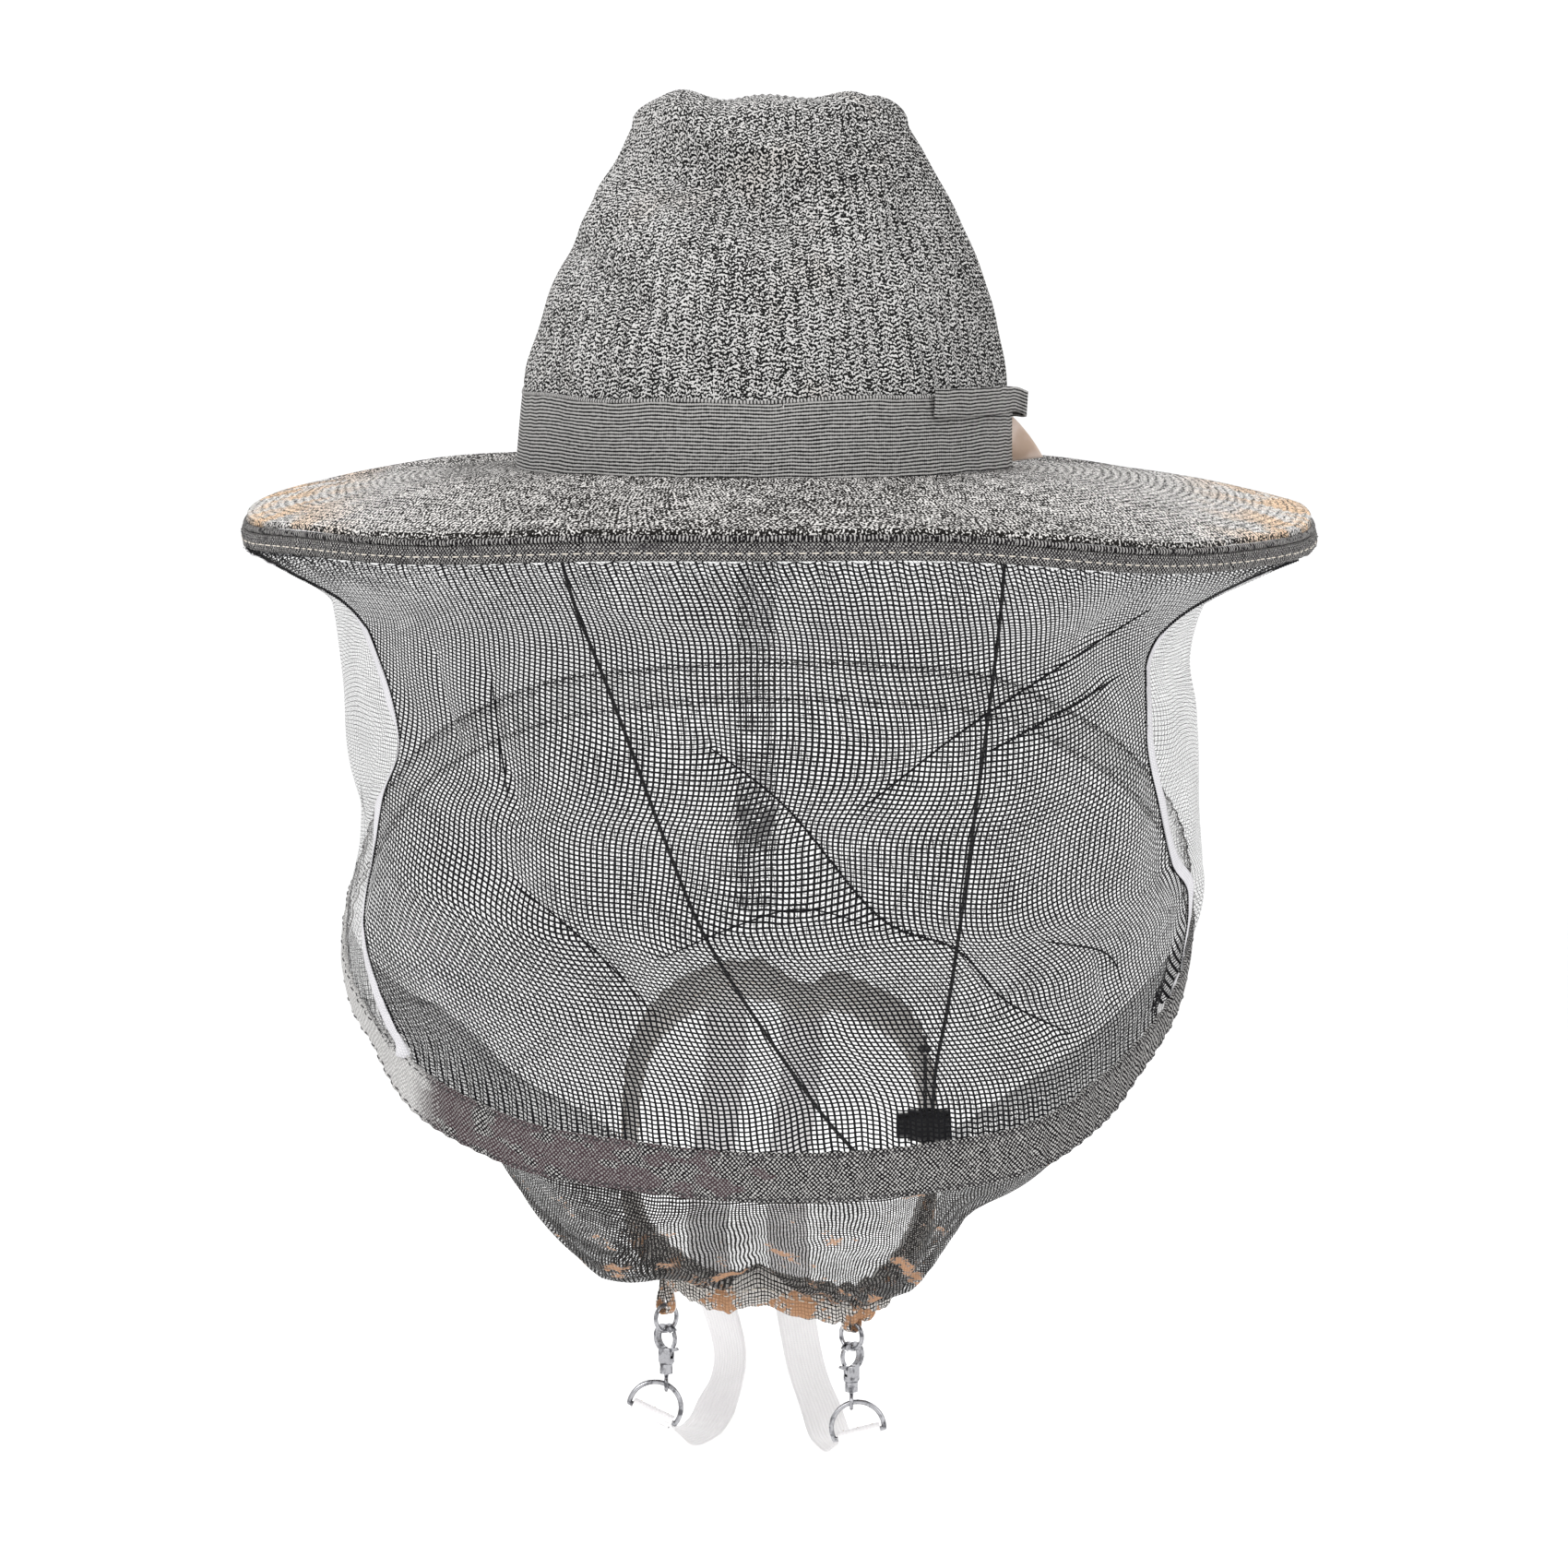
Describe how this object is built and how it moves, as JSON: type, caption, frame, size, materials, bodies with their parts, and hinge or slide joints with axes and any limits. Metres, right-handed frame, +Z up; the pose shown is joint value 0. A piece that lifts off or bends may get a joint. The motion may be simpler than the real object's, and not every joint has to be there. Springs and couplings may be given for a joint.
{
  "type": "beekeeping veil",
  "caption": "Knitted straw sun hat with a see-through net tube on its brim, a gathered cloth skirt below, a chin cord with a spring lock, and underarm straps on swivel clasps.",
  "frame": {"origin": "centre of the head opening, at the level where crown and brim meet", "axes": "+Z up through the crown, -Y towards the wearer's front, +X towards the wearer's left"},
  "size_m": [0.3792, 0.3792, 0.4875],
  "materials": {
    "straw": "knitted paper straw",
    "band_ribbon": "ribbed grosgrain ribbon",
    "band_ribbon_dark": "ribbed grosgrain ribbon",
    "band_tail_ribbon": "soft satin ribbon",
    "sweat_cloth": "twill",
    "dark_binding": "woven tape",
    "black_net": "open square mesh",
    "skirt_cloth": "open weave cloth",
    "hem_cloth": "twill",
    "elastic": "braided elastic",
    "strap_elastic": "woven elastic webbing",
    "black_cord": "braided cord",
    "black_plastic": "moulded",
    "metal": "nickel plate",
    "spring_wire": "drawn wire"
  },
  "bodies": {
    "root": {"crown": "straw", "brim": "straw", "brim_wire": "spring_wire", "sweatband": "sweat_cloth", "hat_band": "band_ribbon", "band_bow": "band_ribbon_dark", "band_tail": "band_tail_ribbon", "net_binding": "dark_binding", "net_front": "black_net", "net_back": "black_net", "back_seam_tape": "dark_binding", "seam_band": "dark_binding", "skirt_front": "skirt_cloth", "skirt_back": "skirt_cloth", "hem_casing": "hem_cloth", "hem_elastic": "elastic", "ring_tab_left": "hem_cloth", "ring_tab_right": "hem_cloth", "strap_left": "strap_elastic", "strap_right": "strap_elastic", "chin_cord_left": "black_cord", "chin_cord_right": "black_cord", "cord_knot_left": "black_cord", "cord_knot_right": "black_cord", "cord_eyelet_left": "metal", "cord_eyelet_right": "metal"},
    "hem_ring_left": {"hem_ring_left": "metal"},
    "d_ring_left": {"d_ring_left": "metal", "swivel_post_left": "metal", "strap_end_left": "strap_elastic"},
    "clasp_left": {"clasp_body_left": "metal", "trigger_pin_left": "metal", "trigger_spring_left": "spring_wire"},
    "trigger_left": {"clasp_trigger_left": "metal"},
    "hem_ring_right": {"hem_ring_right": "metal"},
    "d_ring_right": {"d_ring_right": "metal", "swivel_post_right": "metal", "strap_end_right": "strap_elastic"},
    "clasp_right": {"clasp_body_right": "metal", "trigger_pin_right": "metal", "trigger_spring_right": "spring_wire"},
    "trigger_right": {"clasp_trigger_right": "metal"},
    "cord_lock": {"cord_lock_barrel": "black_plastic", "cord_lock_spring": "spring_wire"},
    "cord_lock_button": {"cord_lock_plunger": "black_plastic"}
  },
  "joints": [
    {"name": "strap_clip_swing_left", "type": "hinge", "parent": "root", "child": "d_ring_left", "pos_m": [-0.04, -0.041, -0.2925], "axis": [0, 1, 0], "range_deg": [-15, 15]},
    {"name": "hem_ring_swing_left", "type": "hinge", "parent": "root", "child": "hem_ring_left", "pos_m": [-0.04, -0.041, -0.2925], "axis": [0, 1, 0], "range_deg": [-15, 15]},
    {"name": "clasp_swivel_left", "type": "hinge", "parent": "d_ring_left", "child": "clasp_left", "pos_m": [-0.04, -0.041, -0.31435], "axis": [0, 0, 1], "range_deg": [-22, 22]},
    {"name": "clasp_trigger_left", "type": "hinge", "parent": "clasp_left", "child": "trigger_left", "pos_m": [-0.03894, -0.04206, -0.30965], "axis": [-0.7071, -0.7071, 0], "range_deg": [0, 13], "stiffness_Nm_per_rad": 0.004, "springref_deg": -17.19, "deforming": ["trigger_spring_left"]},
    {"name": "strap_clip_swing_right", "type": "hinge", "parent": "root", "child": "d_ring_right", "pos_m": [0.0255, -0.0485, -0.2975], "axis": [0, 1, 0], "range_deg": [-15, 15]},
    {"name": "hem_ring_swing_right", "type": "hinge", "parent": "root", "child": "hem_ring_right", "pos_m": [0.0255, -0.0485, -0.2975], "axis": [0, 1, 0], "range_deg": [-15, 15]},
    {"name": "clasp_swivel_right", "type": "hinge", "parent": "d_ring_right", "child": "clasp_right", "pos_m": [0.0255, -0.0485, -0.31935], "axis": [0, 0, 1], "range_deg": [-22, 22]},
    {"name": "clasp_trigger_right", "type": "hinge", "parent": "clasp_right", "child": "trigger_right", "pos_m": [0.02444, -0.04956, -0.31465], "axis": [-0.7071, 0.7071, 0], "range_deg": [0, 13], "stiffness_Nm_per_rad": 0.004, "springref_deg": -17.19, "deforming": ["trigger_spring_right"]},
    {"name": "cord_lock_slide", "type": "slide", "parent": "root", "child": "cord_lock", "axis": [0, 0, 1], "range_m": [0, 0.006]},
    {"name": "cord_lock_press", "type": "slide", "parent": "cord_lock", "child": "cord_lock_button", "axis": [1, 0, 0], "range_m": [0, 0.0025], "stiffness_N_per_m": 300, "springref_m": -0.002, "deforming": ["cord_lock_spring"]}
  ],
  "couplings": [
    {"joint": "hem_ring_swing_left", "follows": "strap_clip_swing_left", "ratio": 1},
    {"joint": "hem_ring_swing_right", "follows": "strap_clip_swing_right", "ratio": 1}
  ]
}
